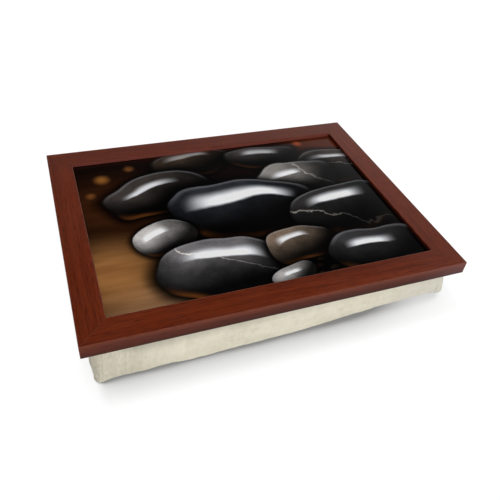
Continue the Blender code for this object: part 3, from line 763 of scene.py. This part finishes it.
class Nodes:
    """A short way to write a node tree: a new material's, or the one that is given."""

    def __init__(self, name, tree=None):
        self.material = None
        if tree is None:
            self.material = bpy.data.materials.new(name)
            self.material.use_nodes = True
            tree = self.material.node_tree
            tree.nodes.clear()
        self.tree = tree

    def add(self, kind, inputs=None, **settings):
        node = self.tree.nodes.new(kind)
        for key, value in settings.items():
            setattr(node, key, value)
        for key, value in (inputs or {}).items():
            if isinstance(value, bpy.types.NodeSocket):
                self.tree.links.new(value, node.inputs[key])
            else:
                node.inputs[key].default_value = value
        return node

    def math(self, operation, first, second=0.0, third=0.0):
        return self.add("ShaderNodeMath", {0: first, 1: second, 2: third}, operation=operation).outputs[0]

    def product(self, first, *others):
        for other in others:
            first = self.math("MULTIPLY", first, other)
        return first

    def total(self, *terms):
        """The sum of (factor, value) terms."""
        result = 0.0
        for factor, value in terms:
            result = self.math("MULTIPLY_ADD", value, factor, result)
        return result

    def rest(self, share):
        """What a share leaves of 1."""
        return self.math("SUBTRACT", 1.0, share)

    def gap(self, first, second=0.0):
        """How far one value lies from another."""
        return self.math("ABSOLUTE", self.math("SUBTRACT", first, second))

    def vector(self, operation, first, second=(0, 0, 0), output=0):
        return self.add("ShaderNodeVectorMath", {0: first, 1: second}, operation=operation).outputs[output]

    def axes(self, vector):
        return self.add("ShaderNodeSeparateXYZ", {0: vector}).outputs

    def mix(self, share, first, second, blend="MIX"):
        values = {0: share, 6: first, 7: second}
        return self.add("ShaderNodeMix", values, data_type="RGBA", blend_type=blend).outputs[2]

    def paint(self, colour, *coats):
        """The colour under coats of others. Each coat is (share, colour)."""
        for share, coat in coats:
            colour = self.mix(share, colour, (*coat, 1))
        return colour

    def ramp(self, value, *stops):
        """Stops are (position, colour)."""
        node = self.add("ShaderNodeValToRGB", {0: value})
        elements = node.color_ramp.elements
        while len(elements) < len(stops):
            elements.new(0.5)
        for element, (position, colour) in zip(elements, stops):
            element.position = position
            element.color = (*colour, 1)
        return node.outputs[0]

    def range(self, value, from_low, from_high, to_low=0.0, to_high=1.0, kind="LINEAR"):
        names = ("Value", "From Min", "From Max", "To Min", "To Max")
        values = dict(zip(names, (value, from_low, from_high, to_low, to_high)))
        return self.add("ShaderNodeMapRange", values, interpolation_type=kind).outputs[0]

    def fade(self, *terms):
        """As range, but it starts and ends softly."""
        return self.range(*terms, kind="SMOOTHSTEP")

    def noise(self, place, scale, detail=2.0, roughness=0.5, distortion=0.0, output="Fac", **shifted):
        """The scale is one number, or one for each axis."""
        if isinstance(scale, tuple):
            place = self.stretch(place, scale, **shifted)
            scale = 1.0
        values = {"Vector": place, "Scale": scale, "Detail": detail, "Roughness": roughness}
        return self.add("ShaderNodeTexNoise", {**values, "Distortion": distortion}).outputs[output]

    def drift(self, place, scale, reach, detail):
        """A smooth random shift, up to half the reach each way."""
        shift = self.vector("SUBTRACT", self.noise(place, scale, detail, output="Color"), (0.5, 0.5, 0.5))
        return self.vector("MULTIPLY", shift, reach)

    def place(self):
        """The place on the piece, in metres, which moves with it."""
        return self.add("ShaderNodeTexCoord").outputs["Object"]

    def facing(self):
        """How squarely the surface faces along each of the piece's own axes, either way."""
        return [self.gap(value) for value in self.axes(self.add("ShaderNodeTexCoord").outputs["Normal"])]

    def stretch(self, place, scale, turn=(0, 0, 0), shift=(0, 0, 0)):
        values = {"Vector": place, "Location": shift, "Rotation": turn, "Scale": scale}
        return self.add("ShaderNodeMapping", values).outputs[0]

    def within(self, flat, centre, size, turn=0):
        """The place as seen from the middle of a patch of the print, in the patch's half sizes."""
        turned = (0, 0, math.radians(turn))
        values = {"Vector": flat, "Location": (*centre, 0), "Rotation": turned, "Scale": (*size, 1)}
        return self.add("ShaderNodeMapping", values, vector_type="TEXTURE").outputs[0]

    def bump(self, height, distance, strength=1.0, normal=None):
        values = {"Height": height, "Distance": distance, "Strength": strength}
        if normal is not None:
            values["Normal"] = normal
        return self.add("ShaderNodeBump", values).outputs[0]

    def show(self, surface, kind="ShaderNodeOutputMaterial"):
        """Join a shader to the output of the material, or of the world."""
        self.tree.links.new(surface.outputs[0], self.add(kind).inputs["Surface"])
        return self.material

    def finish(self, **inputs):
        """The Principled shader, its socket names written with underscores for spaces."""
        values = {key.replace("_", " "): value for key, value in inputs.items()}
        return self.show(self.add("ShaderNodeBsdfPrincipled", values))


def dress(node_name, material):
    """Give a CAD piece its material."""
    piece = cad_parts[node_name]
    piece.data.materials.clear()
    piece.data.materials.append(material)


def weave(n, first, second, turns):
    """Threads over and under each other in two directions."""
    return n.product(*(n.math("SINE", n.product(value, turns)) for value in (first, second)))


def stained_grain(n, place):
    """The stained wood's colour with its grain along X, and then the height of that grain and its figure."""
    sway = n.drift(n.stretch(place, (5, 14, 14), shift=(0, 0, 0.4)), 1.0, GRAIN_SWAY, 1.0)
    grain_place = n.vector("ADD", place, sway)
    bands = n.noise(grain_place, (3, 110, 110), 3.0, 0.6)
    figure = n.noise(grain_place, (16, 620, 620), 3.0, 0.6, shift=(0.3, 0, 0))
    pores = n.noise(grain_place, (90, 1100, 1100), 1.5, 0.6)
    streaks = n.noise(grain_place, (24, 760, 760), 2.0, 0.6, shift=(0, 0.7, 0))
    colour = n.ramp(
        n.total((0.30, bands), (0.45, figure), (0.25, pores)),
        (0.34, (0.062, 0.0076, 0.0010)),
        (0.46, (0.094, 0.0120, 0.0015)),
        (0.54, (0.117, 0.0155, 0.0022)),
        (0.67, (0.157, 0.0240, 0.0044)),
    )
    dark_streak = n.range(streaks, 0.55, 0.68, 0.0, 0.36)
    pore = n.range(pores, 0.32, 0.42, 0.50, 0.0)
    colour = n.paint(colour, (dark_streak, (0.036, 0.0060, 0.0030)), (pore, (0.018, 0.0035, 0.0025)))
    return colour, n.total((1.0, figure), (-0.8, pore), (-0.3, dark_streak)), figure


def wood_material(name, turn):
    """Red-brown stained wood under satin lacquer, its grain turned from X by so many degrees.

    Painted shade deepens towards the foot of the outer sides, which have a painted highlight along their
    upper edge and a painted sheen at their right ends. The arrises are rubbed paler and also given a painted
    highlight, and a fine pale line runs along each mitre. The inner walls that face along X have painted
    shade and those that face along Y painted light, and the tops are a little darker at the rear.
    """
    n = Nodes(name)
    place = n.place()
    colour, height, figure = stained_grain(n, n.stretch(place, (1, 1, 1), turn=(0, 0, math.radians(turn))))
    x, y, z = n.axes(place)
    facing_x, _, facing_z = n.facing()
    from_side = n.math("SUBTRACT", TRAY_HALF_DEPTH, n.gap(y))
    from_end = n.math("SUBTRACT", TRAY_HALF_LENGTH, n.gap(x))
    outer = n.math("MINIMUM", from_side, from_end)
    down = n.math("SUBTRACT", TRAY_TOP, z)
    upright = n.range(facing_z, 0.6, 0.2)
    end_wall = n.range(facing_x, 0.3, 0.7)
    # Painted shade: darker down the outer sides towards the foot, and on the inner walls that face along X
    painted_shade = n.range(down, *SIDE_SHADE_DEPTHS, SIDE_SHADE_TOP, n.range(x, *SIDE_SHADE_FOOT))
    painted_shade = n.fade(outer, *INNER_WALL, painted_shade, n.product(end_wall, END_WALL_SHADE))
    # Darker on top towards the rear
    rear_darkening = n.product(n.rest(upright), n.range(y, *REAR_DARKENING))
    # Painted light on the inner walls that face along Y
    lit_wall = n.product(upright, n.fade(outer, *INNER_WALL, 0.0, LIT_WALL_SHARE), n.rest(end_wall))
    arris = n.fade(n.math("MINIMUM", outer, n.gap(outer, RAIL_WIDTH)), *ARRIS_WIDTH)
    patchy = n.range(n.noise(place, 90.0, 3.0), 0.35, 0.65, *RUBBED_AND_HIGHLIGHT_SHARES)
    # The arrises rubbed paler, which also gives them a painted highlight
    rubbed_and_highlight = n.product(arris, n.fade(down, *ARRIS_DEPTHS), patchy)
    # Painted highlight in a band along the top of the outer sides
    side_highlight = n.product(n.fade(outer, *SKIN), n.fade(down, *SIDE_HIGHLIGHT_DEPTHS), n.range(x, *SIDE_HIGHLIGHT_ACROSS))
    # Painted sheen on the outer sides' right ends
    right_end_sheen = n.product(n.range(x, *RIGHT_END_SHEEN), n.range(from_side, *SKIN))
    mitre = n.fade(n.gap(from_side, from_end), *MITRE_LINE)
    mitre = n.product(mitre, n.range(patchy, *RUBBED_AND_HIGHLIGHT_SHARES, 0.15, 0.60))
    colour = n.paint(
        colour,
        (n.math("MULTIPLY_ADD", upright, painted_shade, rear_darkening), (0.030, 0.0050, 0.0030)),
        (lit_wall, (0.215, 0.058, 0.042)),
        (n.math("ADD", rubbed_and_highlight, side_highlight), (0.190, 0.055, 0.030)),
        (right_end_sheen, (0.24, 0.10, 0.10)),
        (mitre, (0.250, 0.095, 0.045)),
    )
    smears = n.range(n.noise(place, 26.0, 3.0, 0.6), 0.35, 0.65, 0.0, 0.05)
    return n.finish(
        Base_Color=colour, Roughness=n.math("ADD", n.range(figure, 0.3, 0.7, 0.27, 0.33), smears),
        Specular_IOR_Level=0.30, Normal=n.bump(height, 0.00005, 0.7),
    )


def board_material():
    """Pressed hardboard: brown fibres under the mesh pattern of its screen side."""
    n = Nodes("hardboard")
    place = n.place()
    fibres = n.noise(place, 420.0, 3.0, 0.65, 1.5)
    x, y, _ = n.axes(place)
    screen = weave(n, x, y, SCREEN_TURNS)
    colour = n.ramp(
        fibres,
        (0.30, (0.090, 0.045, 0.022)),
        (0.55, (0.165, 0.086, 0.042)),
        (0.75, (0.240, 0.140, 0.075)),
    )
    colour = n.paint(
        colour,
        (n.range(n.noise(place, 18.0), 0.35, 0.65, 0.0, 0.35), (0.110, 0.055, 0.027)),
        (n.range(screen, 0.2, 1.0, 0.0, 0.35), (0.070, 0.034, 0.017)),
    )
    height = n.total((0.6, fibres), (-0.5, screen))
    return n.finish(Base_Color=colour, Roughness=0.82, Normal=n.bump(height, 0.0002, 0.8))


def steel_material():
    """Drawn steel wire and strip, with fine streaks."""
    n = Nodes("steel")
    streaks = n.noise(n.place(), (300, 300, 2500))
    colour = n.ramp(streaks, (0.30, (0.30, 0.30, 0.30)), (0.70, (0.52, 0.52, 0.50)))
    return n.finish(Base_Color=colour, Metallic=1.0, Roughness=n.range(streaks, 0.3, 0.7, 0.28, 0.45))


def tape_material(name, low, high, bump):
    """Hook or loop tape: rows of fine tufts in a woven ground."""
    n = Nodes(name)
    place = n.place()
    cells = n.add("ShaderNodeTexVoronoi", {"Vector": place, "Scale": 900.0}).outputs["Distance"]
    height = n.math("SUBTRACT", n.noise(place, 1800.0, 2.0, 0.7), n.product(cells, 0.8))
    wear = n.range(n.noise(place, 60.0, 3.0), 0.4, 0.7, 0.0, 0.25)
    colour = n.paint(n.ramp(height, (0.05, low), (0.75, high)), (wear, low))
    return n.finish(Base_Color=colour, Roughness=0.9, Sheen_Weight=0.25, Normal=n.bump(height, bump, 0.9))


def cotton_material():
    """Cream cotton in a plain weave, with slubs and slightly uneven dye.

    It has painted shade along its foot, under the frame along the front and at its right end, and is darker
    in blotches at its front left corner.
    """
    n = Nodes("cotton")
    place = n.place()
    x, y, z = n.axes(place)
    facing_x, facing_y, facing_z = n.facing()
    threads = n.total(*(
        (facing, weave(n, first, second, THREAD_TURNS))
        for facing, first, second in ((facing_x, y, z), (facing_y, x, z), (facing_z, x, y))
    ))
    level_slubs, upright_slubs, flat_slubs = (
        n.noise(place, scale, 2.0, 0.6) for scale in ((22, 22, 1100), (1100, 1100, 22), (22, 1100, 1100))
    )
    side_slubs = n.total((0.6, level_slubs), (0.4, upright_slubs))
    slubs = n.total((facing_z, flat_slubs), (n.rest(facing_z), side_slubs))
    clouds = n.noise(place, 22.0, 4.0, 0.62)
    blotches = n.noise(n.stretch(place, (1, 1, 1), shift=(0.4, 0.1, 0.2)), 130.0, 3.0, 0.6)
    colour = n.ramp(
        n.total((0.34, clouds), (0.26, blotches), (0.40, slubs)),
        (0.38, (0.665, 0.622, 0.488)),
        (0.50, (0.752, 0.711, 0.574)),
        (0.62, (0.810, 0.774, 0.640)),
    )
    near_corner = n.product(n.fade(x, *DARK_CORNER_ACROSS), n.fade(y, *DARK_CORNER_BACK))
    # Darker in blotches at the front left corner
    dark_corner = n.product(near_corner, n.range(blotches, 0.35, 0.65, *DARK_CORNER_SHARES))
    shade = n.product(n.range(x, *SHADE_ACROSS), n.fade(x, *SHADE_START))
    shade = n.product(shade, n.fade(z, *SHADE_HEIGHTS), n.range(y, *SHADE_BACK))
    colour = n.paint(
        colour,
        (n.range(threads, 0.2, -0.9, 0.0, 0.10), (0.46, 0.42, 0.31)),
        # Painted shade along the foot
        (n.fade(z, *FOOT_SHADE), (0.36, 0.33, 0.26)),
        (dark_corner, (0.40, 0.36, 0.28)),
        (shade, (0.0, 0.0, 0.0)),
        # Painted shade at the right end
        (n.range(x, *RIGHT_END_SHADE), (0.41, 0.42, 0.47)),
    )
    ridges = n.gap(n.noise(n.stretch(place, (1, 1, 0.7), turn=(0, 0.6, 0)), 95.0, 2.5, 0.6), 0.5)
    crumpled = n.product(n.range(near_corner, 0.0, 1.0, 0.06, 1.0), n.range(facing_z, 0.5, 0.9, 1.0, 0.15))
    crumple = n.product(n.range(ridges, 0.0, 0.16), crumpled)
    fine = n.bump(crumple, 0.0022, 0.5, n.bump(threads, 0.00010, 0.35))
    return n.finish(
        Base_Color=colour, Roughness=0.92, Specular_IOR_Level=0.2, Sheen_Weight=0.12, Sheen_Roughness=0.5,
        Normal=n.bump(n.total((0.6, slubs), (0.4, blotches)), 0.0006, 0.55, fine),
    )


def streak_of_light(n, across, up, window, edge_noise):
    """A window's reflection, bowed over a stone: crisp along its foot and soft at its ends."""
    middle, half_length, level, half_height = window
    bow = n.math("MULTIPLY_ADD", n.product(across, across), 0.45, up)
    bow = n.math("MULTIPLY_ADD", edge_noise, 0.10, bow)
    ends = n.fade(n.gap(across, middle), half_length, half_length * 0.35)
    below = n.fade(bow, level - half_height * 0.7, level)
    above = n.fade(bow, level + half_height * 2.6, level + half_height * 0.5)
    return n.product(ends, below, above)


def stone(n, picture, flat, wobble, spec, quartz):
    """Paint one wet stone over the picture: its cast shade, its body, its sheen and its lit foot."""
    centre, size, turn, body, window, shine, warmth, blur = spec
    across, up, _ = n.axes(n.within(n.vector("ADD", flat, wobble), centre, size, turn))
    reach = n.math("ADD", *(n.math("POWER", n.gap(value), STONE_SQUARENESS) for value in (up, across)))
    reach = n.math("POWER", reach, 1 / STONE_SQUARENESS)
    picture = n.paint(picture, (n.fade(reach, 0.96, 1.30, 0.94, 0.0), (0.0022, 0.0018, 0.0018)))
    height = n.math("SQRT", n.math("MAXIMUM", n.rest(n.product(reach, reach)), 0.0))
    lit = n.math("MAXIMUM", n.total(*zip(STONE_LIGHT, (across, up, height))), 0.0)
    seeded = n.vector("ADD", flat, (*centre, turn))
    grain = n.noise(seeded, 620.0, 3.0, 0.75)
    clouds = n.noise(seeded, 22.0, 4.0, 0.6)
    mottle = n.product(n.range(grain, 0.3, 0.7, 0.75, 1.25), n.range(clouds, 0.3, 0.7, 0.55, 1.45))
    tone = n.product(n.math("ADD", n.product(lit, lit), 0.03), mottle)
    coats = [(tone, body)]
    if quartz:
        angle, offset, breadth = quartz
        vein = n.total((math.cos(angle), across), (math.sin(angle), up), (0.9, clouds))
        vein = n.range(n.gap(vein, offset), 0.0, breadth, 0.8, 0.0)
        coats.append((n.product(vein, n.math("ADD", tone, 0.05)), (0.48, 0.46, 0.43)))
    streak = streak_of_light(n, across, up, window, n.math("SUBTRACT", clouds, 0.5))
    streak = n.product(streak, n.range(grain, 0.3, 0.7, 0.82, 1.0), shine)
    back_rim = n.product(n.fade(reach, 0.90, 0.98), n.fade(up, 0.2, 0.8, 0.0, 0.20))
    foot = n.product(n.fade(reach, 0.74, 0.93), n.range(reach, 1.0, 0.93))
    foot = n.product(foot, n.fade(up, -0.30, -0.85, 0.0, warmth), n.fade(across, 0.7, -0.5))
    coats += [(streak, (0.62, 0.63, 0.65)), (back_rim, (0.34, 0.34, 0.36)), (foot, (0.120, 0.050, 0.016))]
    colour = n.paint((0.0026, 0.0024, 0.0024, 1), *coats)
    return n.mix(n.fade(reach, 1.0 + blur, 1.0 - blur), picture, colour)


def glow(n, picture, flat, centre, size, colour, strength):
    """Add a soft out-of-focus light to the picture."""
    reach = n.vector("LENGTH", n.within(flat, centre, size), output="Value")
    return n.mix(n.fade(reach, GLOW_CORE, 1.0, strength, 0.0), picture, (*colour, 1), "ADD")


def gravel(n, picture, flat, scale, share):
    """Small wet pebbles between the stones, each lit from its upper left."""
    flat = n.stretch(flat, (1, 1.4, 1))
    cells = n.add("ShaderNodeTexVoronoi", {"Vector": flat, "Scale": scale, "Randomness": 0.9}).outputs
    distance = cells["Distance"]
    across, up, _ = n.axes(n.vector("SUBTRACT", flat, cells["Position"]))
    lean = n.total((-0.35 * scale, across), (1.1 * scale, up), (-0.6, distance))
    red, green, _ = n.add("ShaderNodeSeparateColor", {0: cells["Color"]}).outputs
    tone = n.product(n.fade(lean, -0.5, 0.55), n.range(red, 0.0, 1.0, 0.25, 1.0))
    tone = n.product(tone, n.fade(distance, 0.62, 0.42))
    colour = n.mix(green, (0.060, 0.050, 0.044, 1), (0.130, 0.085, 0.052, 1))
    spark = n.product(n.fade(lean, 0.42, 0.55, 0.0, 0.7), n.range(red, 0.4, 1.0))
    colour = n.mix(spark, colour, (0.55, 0.54, 0.52, 1))
    colour = n.mix(tone, (0.0030, 0.0024, 0.0022, 1), colour)
    return n.mix(share, picture, colour)


def print_material():
    """The laminate: a dark still life of wet river stones by warm lamplight, under a gloss film."""
    n = Nodes("laminate_print")
    place = n.place()
    flat = n.vector("MULTIPLY", place, (1, 1, 0))
    wobble = n.drift(flat, 9.0, (0.055, 0.055, 0), 1.5)
    x, y, _ = n.axes(flat)
    picture = n.ramp(
        n.range(y, -0.14, 0.14),
        (0.0, (0.0065, 0.0045, 0.0038)),
        (0.45, (0.0080, 0.0048, 0.0036)),
        (1.0, (0.0130, 0.0062, 0.0044)),
    )
    for spec in GLOWS:
        picture = glow(n, picture, flat, *spec)
    planks = n.noise(flat, (9, 60, 1), turn=(0, 0, 0.1))
    planks = n.ramp(planks, (0.35, (0.76, 0.72, 0.68)), (0.65, (1.0, 1.0, 1.0)))
    picture = n.mix(1.0, picture, planks, "MULTIPLY")
    near = n.product(n.fade(y, 0.03, -0.05, 0.0, 0.9), n.fade(x, -0.15, -0.05))
    picture = gravel(n, picture, n.vector("ADD", flat, wobble), GRAVEL_SCALE, near)
    for index, spec in enumerate(STONES):
        picture = stone(n, picture, flat, wobble, spec, QUARTZ.get(index))
    picture = n.add("ShaderNodeGamma", {"Color": picture, "Gamma": PRINT_CONTRAST}).outputs[0]
    picture = n.vector("MINIMUM", n.vector("MULTIPLY", picture, (PRINT_GAIN,) * 3), (PRINT_WHITE,) * 3)
    grain = n.ramp(n.noise(flat, 2600.0, 1.0), (0.3, (0.88, 0.88, 0.88)), (0.7, (1.0, 1.0, 1.0)))
    scuffs = n.noise(place, (30, 240, 30), 4.0, 0.7, turn=(0, 0, 0.6))
    return n.finish(
        Base_Color=n.mix(1.0, picture, grain, "MULTIPLY"), Roughness=n.range(scuffs, 0.35, 0.75, 0.03, 0.06),
        Specular_IOR_Level=0.22, Normal=n.bump(n.noise(place, 520.0), 0.00002, 0.25),
    )


def make_camera():
    """The photograph's camera, with its place, its angles and its focal length."""
    forward = Vector((
        -math.sin(CAMERA_AZIMUTH) * math.cos(CAMERA_ELEVATION),
        math.cos(CAMERA_AZIMUTH) * math.cos(CAMERA_ELEVATION),
        -math.sin(CAMERA_ELEVATION),
    ))
    level_right = forward.cross(Vector((0, 0, 1))).normalized()
    level_up = level_right.cross(forward)
    right = level_right * math.cos(CAMERA_ROLL) + level_up * math.sin(CAMERA_ROLL)
    up = right.cross(forward)
    data = bpy.data.cameras.new("camera")
    data.sensor_width = SENSOR_MM
    data.lens = FOCAL_PIXELS / FRAME_PIXELS * SENSOR_MM
    camera = add_object("camera", data)
    turned = Matrix((right, up, -forward)).transposed().to_4x4()
    camera.matrix_world = Matrix.Translation(CAMERA_PLACE) @ turned
    bpy.context.scene.camera = camera


def shown_whiteness(n, x, y):
    """How white the floor shows: a painted shadow where the tray hides the room, and a little more far off.
    """
    # Painted shadow: the floor's whiteness is cut where the tray hides the room close by
    occlusion = n.add("ShaderNodeAmbientOcclusion", {"Distance": CONTACT_REACH}, samples=CONTACT_SAMPLES)
    depth = n.product(n.fade(y, *CONTACT_FRONT), n.fade(x, *CONTACT_LEFT), n.fade(x, *CONTACT_RIGHT))
    hidden = n.rest(occlusion.outputs["AO"])
    hidden = n.math("ADD", hidden, n.fade(hidden, *CONTACT_EXTRA))
    hidden = n.math("MINIMUM", n.product(hidden, depth), CONTACT_DARKEST)
    far = n.vector("LENGTH", n.place(), output="Value")
    return n.product(n.rest(hidden), n.fade(far, *FLOOR_GLOW))


def make_floor():
    """A white floor with the tray's shadow, partly cast by the lamps and partly painted.

    It is clear from below, and to light under the cushion.
    """
    bpy.ops.mesh.primitive_plane_add(size=FLOOR_SIZE, location=(0, 0, -FLOOR_DROP))
    floor = bpy.context.object
    floor.name = "floor"
    n = Nodes("floor")
    path = n.add("ShaderNodeLightPath").outputs
    seen = path["Is Camera Ray"]
    x, y, _ = n.axes(n.place())
    pale, dim, lit = ((level, level, level, 1) for level in (FLOOR_PALE, FLOOR_MIRRORED, FLOOR_SHADE))
    colour = n.mix(seen, n.mix(path["Is Glossy Ray"], pale, dim), lit)
    diffuse = n.add("ShaderNodeBsdfDiffuse", {"Color": colour})
    strength = n.product(seen, shown_whiteness(n, x, y))
    whiteness = n.add("ShaderNodeEmission", {"Color": (1, 1, 1, 1), "Strength": strength})
    both = n.add("ShaderNodeAddShader", {0: diffuse.outputs[0], 1: whiteness.outputs[0]})
    under = (n.math("LESS_THAN", n.gap(value), half) for value, half in zip((x, y), UNDERSIDE_HALF))
    under = n.product(*under, n.rest(seen))
    touching = n.math("LESS_THAN", path["Ray Length"], TOUCHING)
    below = n.add("ShaderNodeNewGeometry").outputs["Backfacing"]
    clear = n.math("MAXIMUM", below, n.math("MAXIMUM", under, touching))
    nothing = n.add("ShaderNodeBsdfTransparent")
    n.show(n.add("ShaderNodeMixShader", {0: clear, 1: both.outputs[0], 2: nothing.outputs[0]}))
    floor.data.materials.append(n.material)


def make_world():
    """White to the camera; to other rays a room that is pale low down and dark overhead."""
    world = bpy.data.worlds.new("studio")
    world.use_nodes = True
    bpy.context.scene.world = world
    world.node_tree.nodes.clear()
    n = Nodes("studio", world.node_tree)
    across, _, up = n.axes(n.add("ShaderNodeTexCoord").outputs["Generated"])
    height = n.math("MULTIPLY_ADD", across, -ROOM_TILT, up)
    room = n.ramp(height, *((place, (level,) * 3) for place, level in ROOM))
    seen = n.add("ShaderNodeLightPath").outputs["Is Camera Ray"]
    background = n.add("ShaderNodeBackground", {"Color": n.mix(seen, room, (1, 1, 1, 1)), "Strength": 1.0})
    n.show(background, "ShaderNodeOutputWorld")


def make_lights():
    """Round soft lamps aimed at the tray, kept out of reflections."""
    for name, place, size, power in LAMPS:
        data = bpy.data.lights.new(name, "AREA")
        data.shape = "DISK"
        data.size = size
        data.energy = power
        light = add_object(name, data)
        light.visible_glossy = False
        light.location = place
        aim = Vector((0, 0, RAIL_UNDERSIDE)) - Vector(place)
        light.rotation_euler = aim.to_track_quat("-Z", "Y").to_euler()


def dress_frame():
    """Give every rigid CAD piece its material, and hand back the loop tape's."""
    long_wood = wood_material("stained_wood_long", 0)
    short_wood = wood_material("stained_wood_short", 90)
    steel = steel_material()
    hook = tape_material("hook_tape", (0.30, 0.27, 0.21), (0.56, 0.52, 0.42), 0.0004)
    loop = tape_material("loop_tape", (0.40, 0.37, 0.29), (0.64, 0.60, 0.49), 0.0006)
    starts = {
        ("front_rail", "rear_rail"): long_wood, ("left_rail", "right_rail"): short_wood,
        "print_sheet": print_material(), "tray_board": board_material(),
        ("v_nail", "board_point", "staple"): steel, "hook_strip": hook, "loop_strip": loop,
    }
    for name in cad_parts:
        for start, material in starts.items():
            if name.startswith(start):
                dress(name, material)
    return loop


make_camera()
make_world()
make_lights()
make_floor()
loop_tape = dress_frame()
make_cushion(cotton_material())
make_stitching(loop_tape)

bpy.context.scene.view_settings.view_transform = "Standard"
